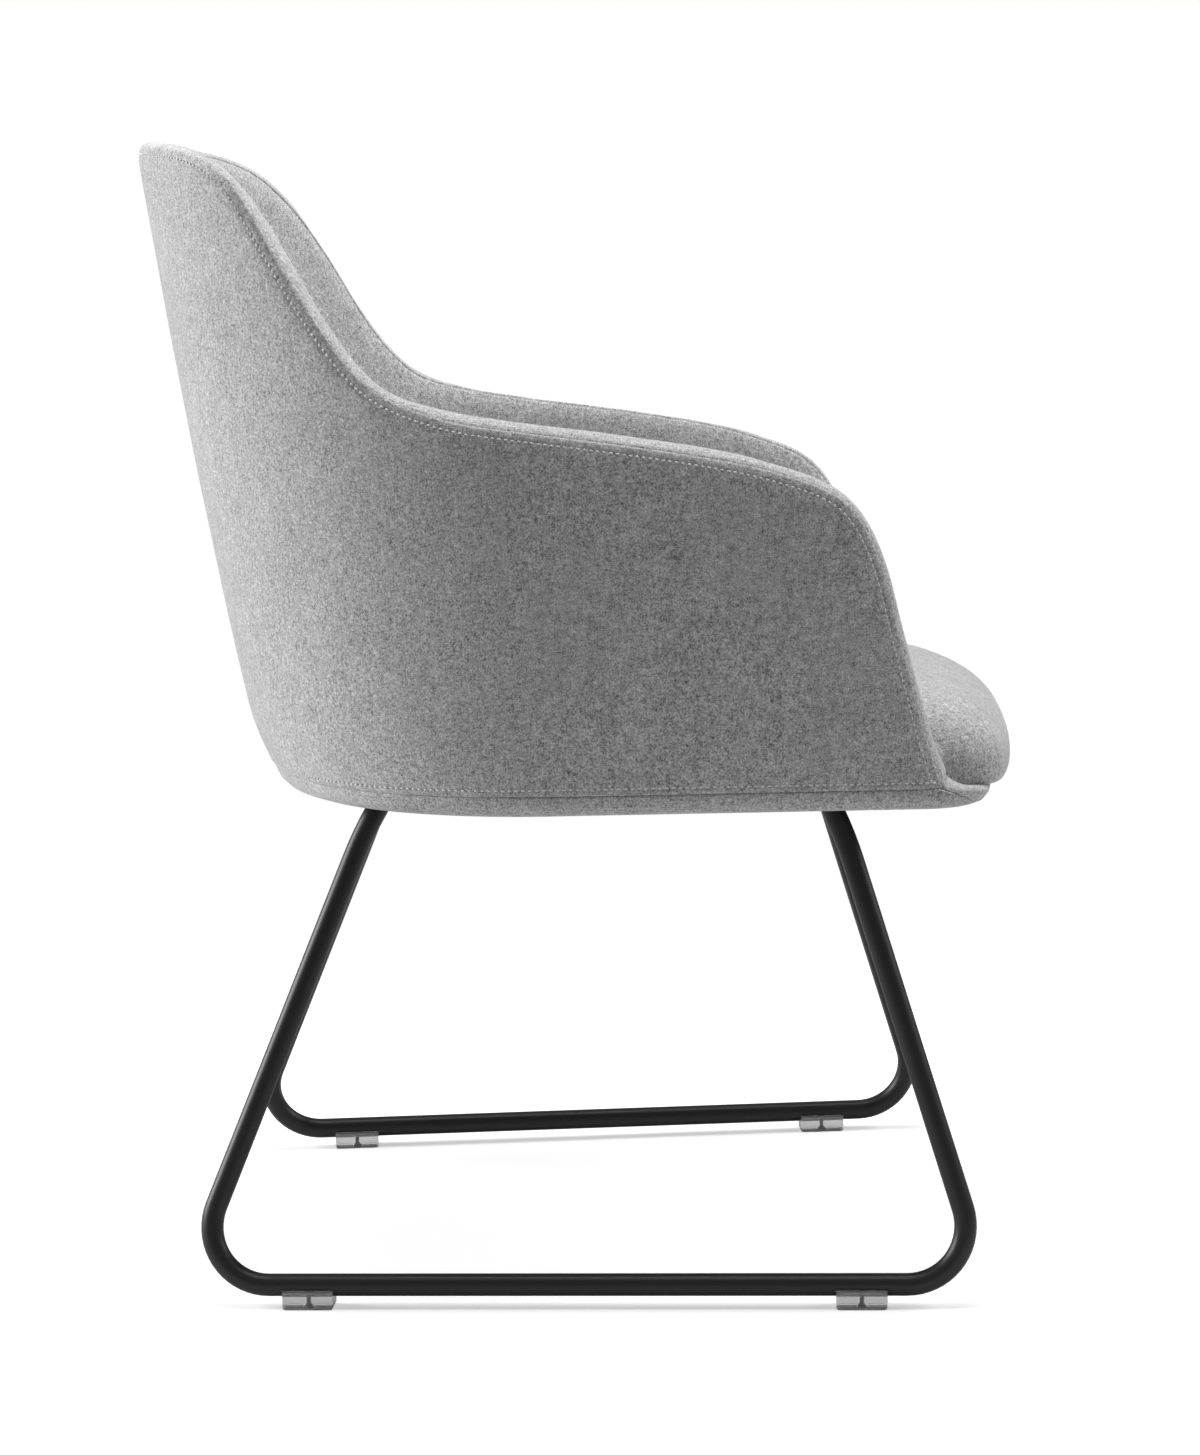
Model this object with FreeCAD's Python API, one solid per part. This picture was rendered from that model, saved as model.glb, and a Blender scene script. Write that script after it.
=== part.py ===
import FreeCAD, Part
import math
import os

# Sled base visitor chair: an upholstered tub seat on two bent tube loops.
# Millimetres. The chair faces +X, Y = 0 is its mirror plane, +Z is up, and the
# floor is Z = 0. The origin is the middle of the outline on the floor.

Vec = FreeCAD.Vector

# Upholstered wall, from the outside in
COVER = 2.5            # woven cover with its thin backing
OUTER_FOAM = 4.0
INSERT = 5.0           # moulded shell inside the foam
INNER_FOAM = 16.0
SLIP = 0.5             # room left between soft pieces that only rest on each other

# Tub outline in plan
HALF_WIDTH = 262.0     # also the radius of the round back at its top
FOOT_SQUARENESS = 68.0 # the back is flatter and its corners tighter by this at the foot
ARC_SPLIT = 30.0       # degrees from the middle of the back where its two arcs meet
SEAM_Z = 364.0         # level seam round the foot of the cover
FOOT_Z = 348.0         # underside of the tub
REAR_FOOT_X = -244.5   # back of the tub at the level seam, before its foot rounds off
REAR_MID_X = -289.3
REAR_MID_Z = 600.0
REAR_TOP_X = -325.0
REAR_TOP_Z = 829.0
LIP_FRONT_X = 307.5    # front lip at the middle
LIP_BOW_RADIUS = 1600.0
LIP_CORNER_RADIUS = 50.0
WALL_FRONT_X = 330.0   # the open front of the tub is trimmed back from here
WALL_TOP_Z = 850.0

# How far the foot of the tub draws in: height above the underside, sides, back
FOOT_ROUNDING = ((0.0, 13.0, 26.0), (3.0, 6.5, 18.0), (8.0, 2.0, 12.5), (16.0, 0.0, 8.5))
REAR_ROUNDING = 48.0   # height above the level seam over which the back comes out to its line

# Rim round the back: angle from the middle of the back, outer seam height, inner seam height
RIM_BACK = (
    (0.0, 829.0, 826.0), (15.0, 828.5, 825.0), (28.0, 825.0, 819.0), (36.0, 819.0, 809.0),
    (42.0, 808.5, 792.0), (47.0, 789.0, 769.0), (52.0, 750.5, 735.5), (58.0, 703.0, 688.5),
    (64.0, 664.5, 657.0), (70.0, 643.5, 642.0), (80.0, 628.0, 632.0),
)
# Rim along the arm and down its front edge: distance forward, outer seam, inner seam
RIM_ARM = (
    (-41.0, 620.5, 625.0), (14.0, 612.5, 617.0), (62.0, 605.0, 609.5), (111.0, 596.0, 600.0),
    (145.5, 587.0, 589.5), (175.0, 576.0, 577.5), (193.5, 562.5, 563.5), (207.0, 541.0, 542.0),
    (217.5, 511.0, 512.0), (227.0, 470.0, 472.0), (239.0, 420.0, 424.0), (248.0, 386.0, 392.0),
    (255.0, 364.0, 371.0), (325.0, 336.0, 345.0),
)
RIM_CROWN = 2.0        # the rim band stands up between its seams
RIM_REACH = 0.25       # share of the wall by which the trimming face runs past it

# Seat structure
FLOOR_Z = 375.0        # underside of the moulded shell's floor
BOARD = 12.0           # plywood seat board
BOARD_ROOM = 1.0       # gap from the board to the lining
RISER_X = 250.0        # front face of the step in the moulded shell
LIP_TOP_Z = 361.0      # top of the front lip, under the nose of the cushion
LIP_TOP_REAR_X = 258.0 # the foot of the tub is lowered to the lip in front of here
DUST_COVER = 1.0

# Seat cushion
CUSHION_FRONT_X = 324.5
CUSHION_BOW_RADIUS = 980.0
CUSHION_CORNER_RADIUS = 42.0
CUSHION_GAP = 1.0      # to the lining
SEAT_HEIGHT = 440.0
# Crown of the cushion: height above the underside of the nose, drawn in
CROWN = (
    (0.0, 12.0), (3.5, 4.0), (9.0, 0.0), (20.0, 3.0), (28.0, 5.5), (36.0, 9.5), (44.0, 15.5),
    (52.0, 26.0), (59.5, 41.0), (67.0, 62.0), (73.5, 90.0), (78.5, 135.0),
)

# Sled frame
TUBE = 16.0
TUBE_WALL = 1.5
RUNNER_Z = 16.0        # runner centre line above the floor
SLED_WIDTH = 540.0     # runner to runner at mid length
TOE_OUT = 4.1          # degrees each side, wider at the front
RUNNER_REAR = -286.0   # where the lines of leg and runner cross, from mid runner
RUNNER_FRONT = 284.6
REAR_LEAN = 22.8       # degrees from upright, seen from the side
FRONT_LEAN = 16.45
REAR_SPLAY = 14.2      # degrees from upright, seen from the front, wider at the floor
FRONT_SPLAY = 10.8
EXTRA_LEAN = 8.0       # the legs lean further just below the seat
KNEE_Z = 328.0
KNEE_RADIUS = 260.0
FLOOR_BEND_RADIUS = 41.5
TOP_BEND_RADIUS = 28.0
LEG_ROOM = 1.0         # round the legs where they pass through the foot of the tub
PLATE = 4.0            # mounting plate
PLATE_LENGTH = 64.0
PLATE_OUT = 10.0       # plate edges, outward and inward of the rail's centre line
PLATE_IN = 32.0
PLATE_CORNER = 6.0
REAR_PLATE_X = -84.0   # plate centres, which are also the cross tubes'
FRONT_PLATE_X = 118.0
RAIL_PAST_PLATE = 2.0
SLED_X = -4.5          # mid runner, from the middle of the whole chair

# Fasteners
BOLT = 6.0
BOLT_ALONG = 20.0      # from the plate's centre, either way along the rail
BOLT_IN = 20.0         # inward of the rail's centre line
BOLT_HEAD = 11.0
BOLT_HEAD_HEIGHT = 3.3
SOCKET = 4.0           # width of the hexagon across its corners
BOLT_LENGTH = 21.0
HOLE_ROOM = 0.3        # radial
WASHER = 1.2
WASHER_RADIUS = 7.0
TNUT_BARREL = 4.0      # radius
TNUT_LENGTH = 9.0
TNUT_FLANGE = 1.5
TNUT_FLANGE_RADIUS = 9.5
SCREW = 4.0            # shell screws
SCREW_HEAD = 8.0
SCREW_HEAD_HEIGHT = 1.8
SCREW_LENGTH = 14.0
SCREW_SITES = ((-180.0, 0.0), (-20.0, 90.0), (-20.0, -90.0), (200.0, 0.0), (205.0, 150.0), (205.0, -150.0))
STAPLES = 24           # round the edge of the dust cover
STAPLE_CROWN = 10.0
STAPLE_WIRE = 1.2
STAPLE_HEIGHT = 0.6
STAPLE_BITE = 3.5      # into the rim of the moulded shell's foot
STAPLE_INSET = 9.0     # from the outside of the foot

# Glides
GLIDE_LENGTH = 36.0
GLIDE_U = 196.7        # from mid runner
GLIDE_WIDTH = 19.0
GLIDE_TOP = 13.7
GLIDE_FOOT = 1.2       # thin wider foot of the glide
GLIDE_FOOT_PROUD = 0.7
GLIDE_CORNER = 2.0
GLIDE_SCREW = 3.5
GLIDE_SCREW_HEAD = 8.0
GLIDE_SCREW_CONE = 2.6
GLIDE_SCREW_DEPTH = 1.2  # head below the glide's foot
GLIDE_SCREW_TOP = 13.0

# Worked out from the sizes above
WALL = COVER + OUTER_FOAM + INSERT + INNER_FOAM + COVER
INSERT_OUT = COVER + OUTER_FOAM
INSERT_IN = INSERT_OUT + INSERT
LINING_OUT = WALL - COVER
FLOOR_TOP_Z = FLOOR_Z + INSERT
BOARD_TOP_Z = FLOOR_TOP_Z + BOARD
PLATE_TOP_Z = FLOOR_Z
RAIL_Z = PLATE_TOP_Z - PLATE - TUBE / 2
FLANGE_Z = FOOT_Z + INSERT
DUST_Z = FLANGE_Z - DUST_COVER
LEDGE_TOP_Z = LIP_TOP_Z - COVER
CUSHION_FOOT = LIP_TOP_Z + SLIP


def rear_x(z):
    """Back of the tub at a height: one gentle bow through its foot, middle and top."""
    foot, mid, top = SEAM_Z, REAR_MID_Z, REAR_TOP_Z
    return (REAR_FOOT_X * (z - mid) * (z - top) / ((foot - mid) * (foot - top))
            + REAR_MID_X * (z - foot) * (z - top) / ((mid - foot) * (mid - top))
            + REAR_TOP_X * (z - foot) * (z - mid) / ((top - foot) * (top - mid)))


def squareness(z):
    """How much flatter than a half circle the back is at a height."""
    share = (REAR_TOP_Z - z) / (REAR_TOP_Z - SEAM_Z)
    return FOOT_SQUARENESS * max(0.0, min(1.0, share)) ** 2


def arc(a, b, c):
    return Part.Arc(a, b, c).toShape()


def line(a, b):
    return Part.makeLine(a, b)


def back_point(back, half_width, square, degrees, z):
    """Point of the back's outline by the direction it faces, from straight back to +Y."""
    a = math.radians(degrees)
    radius = half_width + square
    cx, cy = back + radius, 0.0
    if degrees > ARC_SPLIT:
        apart = square / math.sin(math.radians(ARC_SPLIT))
        radius -= apart
        cx -= apart * math.cos(math.radians(ARC_SPLIT))
        cy = square
    return Vec(cx - radius * math.cos(a), cy + radius * math.sin(a), z)


def back_arcs(back, half_width, square, z):
    """The arcs of the back from the -Y side to the +Y side: corner, middle, corner."""
    def at(degrees):
        p = back_point(back, half_width, square, abs(degrees), z)
        return Vec(p.x, math.copysign(p.y, degrees), z)
    turns = (-90.0, -ARC_SPLIT, ARC_SPLIT, 90.0)
    return [arc(at(a), at((a + b) / 2), at(b)) for a, b in zip(turns, turns[1:])]


def side_start(back, half_width, square):
    """Where the straight sides start."""
    return back_point(back, half_width, square, 90.0, 0).x


def wall_outline(z, inset, front, drawn_in=0.0):
    """U-shaped outline of the wall at a height, closed by a straight line at the front."""
    half_width = HALF_WIDTH - inset
    back = rear_x(z) + drawn_in + inset
    square = squareness(z)
    start = side_start(back, half_width, square)
    edges = [line(Vec(front, -half_width, z), Vec(start, -half_width, z))]
    edges += back_arcs(back, half_width, square, z)
    edges += [line(Vec(start, half_width, z), Vec(front, half_width, z)),
              line(Vec(front, half_width, z), Vec(front, -half_width, z))]
    return Part.Wire(edges)


def bowed_outline(z, back, half_width, front, bow, corner):
    """Closed outline with a round back, rounded front corners and a bowed front."""
    square = squareness(z)
    start = side_start(back, half_width, square)
    corner_y = half_width - corner
    corner_x = front - bow + math.sqrt((bow - corner) ** 2 - corner_y ** 2)
    turn = math.atan2(corner_y, corner_x - front + bow)
    mid_turn = (turn + math.pi / 2) / 2

    def on_corner(angle, side):
        return Vec(corner_x + corner * math.cos(angle), side * (corner_y + corner * math.sin(angle)), z)

    edges = [line(Vec(corner_x, -half_width, z), Vec(start, -half_width, z))]
    edges += back_arcs(back, half_width, square, z)
    edges += [line(Vec(start, half_width, z), Vec(corner_x, half_width, z)),
              arc(on_corner(math.pi / 2, 1), on_corner(mid_turn, 1), on_corner(turn, 1)),
              arc(on_corner(turn, 1), Vec(front, 0, z), on_corner(turn, -1)),
              arc(on_corner(turn, -1), on_corner(mid_turn, -1), on_corner(math.pi / 2, -1))]
    return Part.Wire(edges)


def foot_outline(z, side, back, inset):
    """Outline of the tub's foot at a height, drawn in at its sides and its back."""
    return bowed_outline(z, rear_x(SEAM_Z) + back + inset, HALF_WIDTH - side - inset,
                         LIP_FRONT_X - side - inset, LIP_BOW_RADIUS - side - inset,
                         LIP_CORNER_RADIUS - side - inset)


def wall_body(inset, front=WALL_FRONT_X):
    """Solid inside the tub's wall surface at an inset, from the level seam to above the rim."""
    wires = []
    steps = 12
    for i in range(steps + 1):
        share = i / steps
        z = SEAM_Z + (WALL_TOP_Z - SEAM_Z) * share * (0.35 + 0.65 * share)
        drawn = FOOT_ROUNDING[-1][2] * max(0.0, 1 - (z - SEAM_Z) / REAR_ROUNDING) ** 2
        wires.append(wall_outline(z, inset, front, drawn))
    return Part.makeLoft(wires, True, False)


def foot_body(inset):
    """Solid inside the foot of the tub at an inset, from its underside to the level seam."""
    height = FOOT_ROUNDING[-1][0]
    return Part.makeLoft([foot_outline(SEAM_Z - height + rise, side, back, inset)
                          for rise, side, back in FOOT_ROUNDING], True, False)


def slab(low, high, front=1000.0, rear=-1000.0):
    """Everything between two heights, and between two planes across the chair."""
    return Part.makeBox(front - rear, 2000, high - low, Vec(rear, -1000, low))


def rim_stations():
    """Outer and inner seam points from the middle of the back to the front of the +Y arm."""
    pairs = []
    for degrees, outer_z, inner_z in RIM_BACK:
        pairs.append([back_point(rear_x(z) + inset, HALF_WIDTH - inset, squareness(z), degrees, z)
                      for z, inset in ((outer_z, 0.0), (inner_z, WALL))])
    for x, outer_z, inner_z in RIM_ARM:
        pairs.append([Vec(x, HALF_WIDTH, outer_z), Vec(x, HALF_WIDTH - WALL, inner_z)])
    return pairs


def above_rim(drop=0.0):
    """Everything in front of and above the rim, which starts lower by drop."""
    half = rim_stations()
    pairs = [[Vec(p.x, -p.y, p.z) for p in pair] for pair in reversed(half[1:])] + half
    crown = Vec(1, 0, 1).normalize() * RIM_CROWN
    past = (1 + 2 * RIM_REACH) ** 2 - 1
    rows = [[o + (o - i) * RIM_REACH - crown * past for o, i in pairs],
            [(o + i) * 0.5 + crown for o, i in pairs],
            [i + (i - o) * RIM_REACH - crown * past for o, i in pairs]]
    places = [0.0]
    for a, b in zip(rows[1], rows[1][1:]):
        places.append(places[-1] + a.distanceToPoint(b))
    wires = []
    for points in rows:
        curve = Part.BSplineCurve()
        curve.interpolate(Points=points, Parameters=places)
        wires.append(Part.Wire(curve.toShape()))
    prism = Part.makeLoft(wires, False, False).Faces[0].extrude(Vec(600, 0, 600))
    if drop:
        prism.translate(Vec(-drop, 0, -drop))
    return prism


def largest(shape):
    return max(shape.Solids, key=lambda solid: solid.Volume)


def cushion_body(inset):
    """Crowned cushion form, or its foam when it is inset by the cover."""
    height = SEAT_HEIGHT - CUSHION_FOOT
    shrink = (height - 2 * inset) / height
    gap = WALL + CUSHION_GAP
    wires = []
    for rise, drawn in CROWN:
        z = CUSHION_FOOT + inset + rise * shrink * height / CROWN[-1][0]
        back = rear_x(z) + gap + drawn + inset
        half_width = HALF_WIDTH - gap - drawn - inset
        wires.append(bowed_outline(z, back, half_width, CUSHION_FRONT_X - drawn - inset,
                                   CUSHION_BOW_RADIUS, CUSHION_CORNER_RADIUS))
    body = Part.makeLoft(wires, True, False)
    under = slab(0, BOARD_TOP_Z + SLIP + inset, RISER_X + SLIP + inset)
    return body.cut(under)


def save(name, shape):
    """Writes one node and prints what it holds."""
    solids = shape.Solids
    if len(solids) == 1:
        shape = solids[0]
    else:
        shape = Part.makeCompound(solids)
    box = shape.optimalBoundingBox(True, False)
    print("%-22s solids %2d volume %10.0f valid %s  x %7.1f..%7.1f y %7.1f..%7.1f z %6.1f..%6.1f" % (
        name, len(solids), shape.Volume, shape.isValid(),
        box.XMin, box.XMax, box.YMin, box.YMax, box.ZMin, box.ZMax))
    shape.exportStep("parts/%s.step" % name)


# The centre lines of the sled loops

def runner_point(side, u):
    """Point of a runner's centre line at a distance from its middle."""
    toe = math.radians(TOE_OUT)
    return Vec(SLED_X + u * math.cos(toe), side * (SLED_WIDTH / 2 + u * math.sin(toe)), RUNNER_Z)


def rounded_path(points, radii):
    """Wire of straight runs with an arc at each inner point."""
    edges = []
    start = points[0]
    for before, corner, after, radius in zip(points, points[1:], points[2:], radii):
        d1 = (before - corner).normalize()
        d2 = (after - corner).normalize()
        half = math.acos(max(-1.0, min(1.0, d1.dot(d2)))) / 2
        reach = radius / math.tan(half)
        bisector = (d1 + d2).normalize()
        centre = corner + bisector * (radius / math.sin(half))
        a = corner + d1 * reach
        b = corner + d2 * reach
        edges.append(line(start, a))
        edges.append(arc(a, centre - bisector * radius, b))
        start = b
    edges.append(line(start, points[-1]))
    return Part.Wire(edges)


def leg_points(side, corner_u, lean, splay, sense):
    """Floor corner, knee and top corner of a leg. Sense is +1 where it leans forward."""
    corner = runner_point(side, corner_u)
    inward = -side * math.tan(math.radians(splay))

    def climb(start, z, angle):
        rise = z - start.z
        return start + Vec(sense * math.tan(math.radians(angle)), inward, 1) * rise

    knee = climb(corner, KNEE_Z, lean)
    return corner, knee, climb(knee, RAIL_Z, lean + EXTRA_LEAN)


def legs(side):
    rear = leg_points(side, RUNNER_REAR, REAR_LEAN, REAR_SPLAY, 1)
    front = leg_points(side, RUNNER_FRONT, FRONT_LEAN, FRONT_SPLAY, -1)
    return rear, front


def rail_point(side, x, inward=0.0):
    """Point of the line between a loop's top corners, or of one inward of it."""
    rear, front = legs(side)
    along = (front[2] - rear[2]).normalize()
    spot = rear[2] + along * ((x - rear[2].x) / along.x)
    return spot + Vec(along.y, -along.x, 0) * (side * inward)


def rail_angle(side):
    along = rail_point(side, 1) - rail_point(side, 0)
    return math.degrees(math.atan2(along.y, along.x))


def loop_wire(side):
    rear, front = legs(side)
    reach = PLATE_LENGTH / 2 + RAIL_PAST_PLATE
    points = [rail_point(side, REAR_PLATE_X + reach), rear[2], rear[1], rear[0],
              front[0], front[1], front[2], rail_point(side, FRONT_PLATE_X - reach)]
    radii = [TOP_BEND_RADIUS, KNEE_RADIUS, FLOOR_BEND_RADIUS,
             FLOOR_BEND_RADIUS, KNEE_RADIUS, TOP_BEND_RADIUS]
    return rounded_path(points, radii)


def pipe(wire, radius):
    first = wire.Edges[0]
    start = first.valueAt(first.FirstParameter)
    ring = Part.Wire(Part.makeCircle(radius, start, first.tangentAt(first.FirstParameter)))
    return wire.makePipeShell([ring], True, False)


def cylinder(radius, height, x, y, z):
    return Part.makeCylinder(radius, height, Vec(x, y, z))


def rounded_plate(length, width, thickness, corner):
    """Flat plate about the origin in plan, standing on Z = 0."""
    box = Part.makeBox(length, width, thickness, Vec(-length / 2, -width / 2, 0))
    return box.makeFillet(corner, [e for e in box.Edges if abs(e.tangentAt(0).z) > 0.9])


def place(shape, spot, degrees):
    """Turns a shape made about the origin and moves it over a spot."""
    out = shape.copy()
    out.rotate(Vec(0, 0, 0), Vec(0, 0, 1), degrees)
    out.translate(Vec(spot.x, spot.y, 0))
    return out


SIDES = (("left", 1), ("right", -1))
PLATES = (("front", FRONT_PLATE_X), ("rear", REAR_PLATE_X))


def bolt_sites():
    sites = []
    for _, side in SIDES:
        for _, x in PLATES:
            spot = rail_point(side, x, BOLT_IN)
            along = (rail_point(side, x + 1) - rail_point(side, x)).normalize()
            sites += [spot - along * BOLT_ALONG, spot + along * BOLT_ALONG]
    return sites


def at_bolts(shape):
    """Copies of a shape, made about the Z axis, at each bolt."""
    copies = []
    for spot in bolt_sites():
        copy = shape.copy()
        copy.translate(Vec(spot.x, spot.y, 0))
        copies.append(copy)
    return copies


def bolt_holes(low, high):
    return at_bolts(cylinder(BOLT / 2 + HOLE_ROOM, high - low, 0, 0, low))


def at_screws(shape):
    copies = []
    for x, y in SCREW_SITES:
        copy = shape.copy()
        copy.translate(Vec(x, y, 0))
        copies.append(copy)
    return copies


def staples():
    """Staples round the edge of the dust cover, crowns below it."""
    low = DUST_Z - STAPLE_HEIGHT
    leg_height = STAPLE_HEIGHT + DUST_COVER + STAPLE_BITE
    start = Vec(-STAPLE_CROWN / 2, -STAPLE_WIRE / 2, low)
    end = Vec(STAPLE_CROWN / 2 - STAPLE_HEIGHT, -STAPLE_WIRE / 2, low)
    staple = Part.makeBox(STAPLE_CROWN, STAPLE_WIRE, STAPLE_HEIGHT, start)
    staple = staple.fuse([Part.makeBox(STAPLE_HEIGHT, STAPLE_WIRE, leg_height, corner)
                          for corner in (start, end)]).removeSplitter()
    edge = foot_body(STAPLE_INSET).slice(Vec(0, 0, 1), DUST_Z)[0]
    spots = edge.discretize(Number=2 * STAPLES + 1)
    copies = []
    for before, spot, after in zip(spots[0::2], spots[1::2], spots[2::2]):
        run = after - before
        copies.append(place(staple, spot, math.degrees(math.atan2(run.y, run.x))))
    return copies


# Upholstered tub

def wall_layer(outer, inner, low):
    """Layer of the wall between two insets, above a height and not yet trimmed at the rim."""
    layer = wall_body(outer).cut(wall_body(inner, WALL_FRONT_X + 20))
    return layer.common(slab(low, WALL_TOP_Z + 1))


def foot_layer(outer, inner):
    return foot_body(outer).cut(foot_body(inner))


def make_tub():
    rim = above_rim()
    band_foot = above_rim(COVER)
    insert_rim = above_rim(COVER + OUTER_FOAM)
    # The lip band starts where a slanted seam crosses the foot of the tub
    lip_zone = Part.Face(Part.makePolygon([
        Vec(253, -1000, SEAM_Z + 60), Vec(253, -1000, SEAM_Z), Vec(276, -1000, FOOT_Z - 1),
        Vec(400, -1000, FOOT_Z - 1), Vec(400, -1000, SEAM_Z + 60), Vec(253, -1000, SEAM_Z + 60),
    ])).extrude(Vec(0, 2000, 0))

    save("outer_cover", largest(wall_layer(0, COVER, SEAM_Z).cut(band_foot)))
    save("inner_cover", largest(wall_layer(LINING_OUT, WALL, FLOOR_TOP_Z).cut(band_foot)))
    save("rim_band", largest(wall_layer(0, WALL, SEAM_Z).common(band_foot).cut(rim)))

    foot_cover = foot_layer(0, COVER)
    save("bottom_band", foot_cover.cut(lip_zone))
    over_lip = slab(LIP_TOP_Z, SEAM_Z + 1, rear=LIP_TOP_REAR_X)
    lip_sheet = foot_body(0).common(slab(LEDGE_TOP_Z, LIP_TOP_Z, rear=RISER_X + SLIP))
    save("front_lip_band", foot_cover.common(lip_zone).cut(over_lip).fuse(lip_sheet))

    # Moulded shell: wall, floor, step, front ledge and the rim of its foot
    wall = largest(wall_layer(INSERT_OUT, INSERT_IN, SEAM_Z).cut(insert_rim))
    inside = wall_body((INSERT_OUT + INSERT_IN) / 2)
    floor = inside.common(slab(FLOOR_Z, FLOOR_TOP_Z, RISER_X))
    over_ledge = slab(LEDGE_TOP_Z, SEAM_Z + 1, rear=RISER_X)
    ledge = foot_body(INSERT_OUT).common(slab(LEDGE_TOP_Z - INSERT, LEDGE_TOP_Z, rear=RISER_X - INSERT))
    riser = inside.common(slab(SEAM_Z, FLOOR_TOP_Z, RISER_X, RISER_X - INSERT))
    riser_foot = foot_body(INSERT_OUT).common(slab(LEDGE_TOP_Z, SEAM_Z, RISER_X, RISER_X - INSERT))
    flange = foot_layer(INSERT_OUT, INSERT_IN).common(slab(FLANGE_Z, SEAM_Z)).cut(over_ledge)
    shell = wall.fuse([floor, ledge, riser, riser_foot, flange])
    leg_room = [pipe(loop_wire(side), TUBE / 2 + LEG_ROOM) for _, side in SIDES]
    cavity = wall_body(INSERT_IN).common(slab(SEAM_Z, FLOOR_TOP_Z))
    foam = largest(wall_layer(COVER, LINING_OUT, SEAM_Z).cut(band_foot))
    foam = foam.cut(cavity).fuse(foot_layer(COVER, INSERT_OUT).cut(over_ledge))
    save("shell_foam", foam.cut([shell] + leg_room))

    screw_holes = at_screws(cylinder(SCREW / 2 + HOLE_ROOM, INSERT, 0, 0, FLOOR_Z))
    save("moulded_shell", shell.cut(bolt_holes(FLOOR_Z, FLOOR_TOP_Z) + screw_holes + staples() + leg_room))


def plan_sheet(z, inset, front, thickness):
    outline = wall_outline(z, inset, front)
    return Part.Face(outline).extrude(Vec(0, 0, thickness))


def make_seat():
    board = plan_sheet(FLOOR_TOP_Z, WALL + BOARD_ROOM, RISER_X, BOARD)
    barrels = at_bolts(cylinder(TNUT_BARREL, TNUT_LENGTH, 0, 0, BOARD_TOP_Z - TNUT_LENGTH))
    seats = at_bolts(cylinder(TNUT_FLANGE_RADIUS, TNUT_FLANGE, 0, 0, BOARD_TOP_Z - TNUT_FLANGE))
    pilots = at_screws(cylinder(SCREW / 2, SCREW_LENGTH - INSERT, 0, 0, FLOOR_TOP_Z))
    save("seat_board", board.cut(bolt_holes(FLOOR_TOP_Z, BOARD_TOP_Z) + barrels + seats + pilots))

    save("cushion_cover", cushion_body(0).cut(cushion_body(COVER)))
    save("cushion_foam", cushion_body(COVER))

    dust = foot_body(INSERT_OUT + SLIP).common(slab(DUST_Z, FLANGE_Z))
    leg_room = [pipe(loop_wire(side), TUBE / 2 + LEG_ROOM) for _, side in SIDES]
    save("dust_cover", dust.cut(leg_room + staples()))
    save("dust_cover_staples", Part.makeCompound(staples()))

    shank = cylinder(SCREW / 2, SCREW_LENGTH, 0, 0, FLOOR_Z)
    head = Part.makeCone(SCREW_HEAD / 2 - 0.5, SCREW_HEAD / 2, SCREW_HEAD_HEIGHT,
                         Vec(0, 0, FLOOR_Z - SCREW_HEAD_HEIGHT))
    save("shell_screws", Part.makeCompound(at_screws(shank.fuse(head))))


def make_fasteners():
    washer_z = PLATE_TOP_Z - PLATE - WASHER
    shank = cylinder(BOLT / 2, BOLT_LENGTH, 0, 0, washer_z)
    head = cylinder(BOLT_HEAD / 2, BOLT_HEAD_HEIGHT, 0, 0, washer_z - BOLT_HEAD_HEIGHT)
    head = head.makeFillet(BOLT_HEAD_HEIGHT * 0.45, [head.Edges[k] for k in range(len(head.Edges))
                                                     if head.Edges[k].BoundBox.ZMax < washer_z - 1])
    corners = [Vec(SOCKET / 2 * math.cos(math.radians(60 * k)), SOCKET / 2 * math.sin(math.radians(60 * k)),
                   washer_z - BOLT_HEAD_HEIGHT) for k in range(7)]
    socket = Part.Face(Part.makePolygon(corners)).extrude(Vec(0, 0, BOLT_HEAD_HEIGHT * 0.6))
    save("mounting_bolts", Part.makeCompound(at_bolts(shank.fuse(head).cut(socket))))

    washer = cylinder(WASHER_RADIUS, WASHER, 0, 0, washer_z)
    washer = washer.cut(cylinder(BOLT / 2 + HOLE_ROOM, WASHER, 0, 0, washer_z))
    save("bolt_washers", Part.makeCompound(at_bolts(washer)))

    barrel = cylinder(TNUT_BARREL, TNUT_LENGTH, 0, 0, BOARD_TOP_Z - TNUT_LENGTH)
    flange = cylinder(TNUT_FLANGE_RADIUS, TNUT_FLANGE, 0, 0, BOARD_TOP_Z - TNUT_FLANGE)
    nut = barrel.fuse(flange).cut(cylinder(BOLT / 2, TNUT_LENGTH, 0, 0, BOARD_TOP_Z - TNUT_LENGTH))
    save("t_nuts", Part.makeCompound(at_bolts(nut)))


# Sled frame

def glide_screw_hole(side, u, radius):
    spot = runner_point(side, u)
    return cylinder(radius, RUNNER_Z, spot.x, spot.y, 0)


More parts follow.
